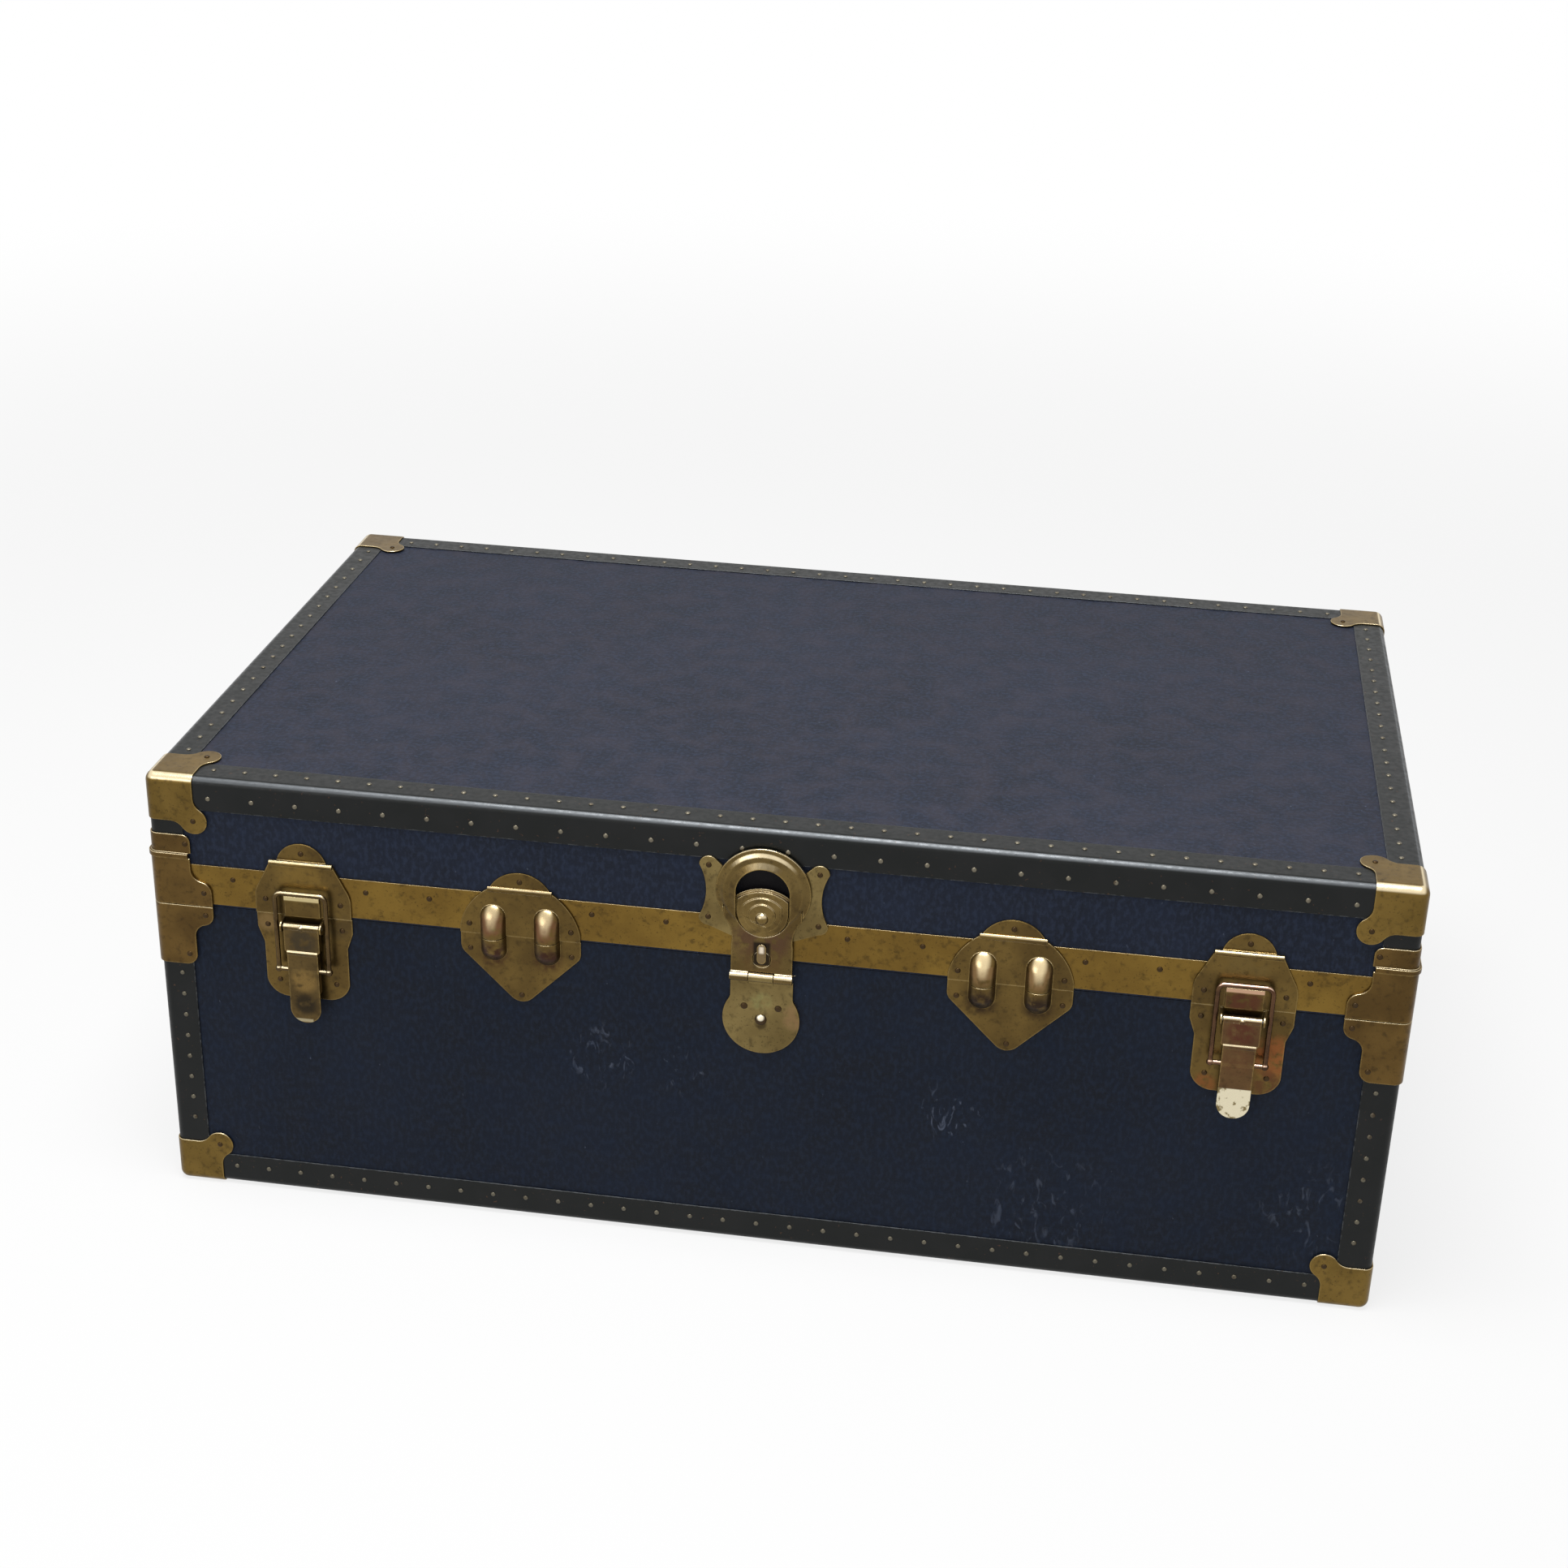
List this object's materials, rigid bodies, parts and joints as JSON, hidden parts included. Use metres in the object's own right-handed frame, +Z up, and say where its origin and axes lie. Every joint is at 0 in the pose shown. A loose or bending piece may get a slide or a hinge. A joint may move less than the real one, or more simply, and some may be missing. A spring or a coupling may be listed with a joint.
{
  "type": "cabin trunk",
  "caption": "Travelling trunk with a hinged lid, covered in navy fibre, bound in black steel, with brass corner caps, draw bolts, dowel plates, a hasp lock and end handles.",
  "frame": {"origin": "on the ground, under the middle of the trunk", "axes": "+X along the length to the right seen from the front, the front faces -Y, +Z up"},
  "size_m": [0.958, 0.5545, 0.3531],
  "materials": {
    "plywood": "plain plywood, unseen between covering and lining",
    "navy_fibre": "matt navy vulcanised fibre, faintly woven and scuffed",
    "lining": "cream lining paper, lightly foxed",
    "binding": "black lacquered steel, worn along the bend",
    "tack": "dulled steel tack heads",
    "nail": "darkened brass nail heads",
    "aged_brass": "antique brass plate, olive brown with brighter edges",
    "valance_brass": "brighter ochre brass strip",
    "worn_brass": "handled brass with coppery patina",
    "steel": "dull steel",
    "grip_leather": "dark brown stitched leather"
  },
  "bodies": {
    "case": {"case_bottom_board": "plywood", "case_front_board": "plywood", "case_back_board": "plywood", "case_left_board": "plywood", "case_right_board": "plywood", "case_fibre_cover": "navy_fibre", "case_lining": "lining", "case_bottom_bindings": "binding", "case_corner_bindings": "binding", "case_rim_tongue": "steel", "case_corner_caps": "aged_brass", "case_seam_clamps": "aged_brass", "draw_bolt_base_left": "aged_brass", "draw_bolt_base_right": "aged_brass", "draw_bolt_pin_left": "steel", "draw_bolt_pin_right": "steel", "dowel_socket_plate_left": "aged_brass", "dowel_socket_plate_right": "aged_brass", "lock_base_plate": "aged_brass", "lock_hinge_pin": "steel", "hinge_case_leaves": "aged_brass", "hinge_pins": "steel", "handle_plates_left": "aged_brass", "handle_plates_right": "aged_brass", "case_binding_tacks": "tack", "case_hardware_nails": "nail"},
    "lid": {"lid_top_board": "plywood", "lid_front_board": "plywood", "lid_back_board": "plywood", "lid_left_board": "plywood", "lid_right_board": "plywood", "lid_fibre_cover": "navy_fibre", "lid_lining": "lining", "lid_top_bindings": "binding", "lid_corner_bindings": "binding", "lid_valance": "valance_brass", "lid_corner_caps": "aged_brass", "lid_seam_clamps": "aged_brass", "draw_bolt_catch_left": "aged_brass", "draw_bolt_catch_right": "aged_brass", "dowel_pin_plate_left": "aged_brass", "dowel_pin_plate_right": "aged_brass", "dowel_pins": "worn_brass", "lock_lid_plate": "aged_brass", "hinge_lid_leaves": "aged_brass", "lid_binding_tacks": "tack", "lid_hardware_nails": "nail"},
    "draw_bolt_lever_left": {"draw_bolt_lever_left": "worn_brass"},
    "draw_bolt_lever_right": {"draw_bolt_lever_right": "worn_brass"},
    "draw_bolt_loop_left": {"draw_bolt_loop_left": "worn_brass"},
    "draw_bolt_loop_right": {"draw_bolt_loop_right": "worn_brass"},
    "lock_hasp": {"lock_hasp": "worn_brass"},
    "lock_slide": {"lock_slide": "worn_brass"},
    "lock_cylinder": {"lock_cylinder": "worn_brass"},
    "lock_keyhole_cover": {"lock_keyhole_cover": "worn_brass"},
    "handle_left": {"handle_bail_left": "steel", "handle_grip_left": "grip_leather"},
    "handle_right": {"handle_bail_right": "steel", "handle_grip_right": "grip_leather"}
  },
  "joints": [
    {"name": "lid_hinge", "type": "hinge", "parent": "case", "child": "lid", "pos_m": [0, 0.2715, 0.246], "axis": [-1, 0, 0], "range_deg": [0, 100]},
    {"name": "draw_bolt_lever_left_swing", "type": "hinge", "parent": "case", "child": "draw_bolt_lever_left", "pos_m": [-0.343, -0.275, 0.24], "axis": [-1, 0, 0], "range_deg": [0, 150]},
    {"name": "draw_bolt_loop_left_swing", "type": "hinge", "parent": "draw_bolt_lever_left", "child": "draw_bolt_loop_left", "pos_m": [-0.343, -0.275, 0.204], "axis": [-1, 0, 0], "range_deg": [-150, 0]},
    {"name": "draw_bolt_lever_right_swing", "type": "hinge", "parent": "case", "child": "draw_bolt_lever_right", "pos_m": [0.343, -0.275, 0.24], "axis": [-1, 0, 0], "range_deg": [0, 150]},
    {"name": "draw_bolt_loop_right_swing", "type": "hinge", "parent": "draw_bolt_lever_right", "child": "draw_bolt_loop_right", "pos_m": [0.343, -0.275, 0.204], "axis": [-1, 0, 0], "range_deg": [-150, 0]},
    {"name": "lock_hasp_swing", "type": "hinge", "parent": "case", "child": "lock_hasp", "pos_m": [0, -0.2725, 0.2346], "axis": [1, 0, 0], "range_deg": [0, 150]},
    {"name": "lock_slide_lift", "type": "slide", "parent": "lock_hasp", "child": "lock_slide", "axis": [0, 0, 1], "range_m": [0, 0.009]},
    {"name": "lock_cylinder_turn", "type": "hinge", "parent": "lock_hasp", "child": "lock_cylinder", "pos_m": [0, -0.2705, 0.2495], "axis": [0, 1, 0], "range_deg": [0, 90]},
    {"name": "lock_keyhole_cover_swing", "type": "hinge", "parent": "lock_hasp", "child": "lock_keyhole_cover", "pos_m": [0, -0.2725, 0.2585], "axis": [0, 1, 0], "range_deg": [-100, 100]},
    {"name": "handle_left_swing", "type": "hinge", "parent": "case", "child": "handle_left", "pos_m": [-0.469, 0, 0.178], "axis": [0, 1, 0], "range_deg": [0, 100]},
    {"name": "handle_right_swing", "type": "hinge", "parent": "case", "child": "handle_right", "pos_m": [0.469, 0, 0.178], "axis": [0, -1, 0], "range_deg": [0, 100]}
  ],
  "couplings": [
    {"joint": "draw_bolt_loop_left_swing", "follows": "draw_bolt_lever_left_swing", "ratio": -1},
    {"joint": "draw_bolt_loop_right_swing", "follows": "draw_bolt_lever_right_swing", "ratio": -1}
  ]
}
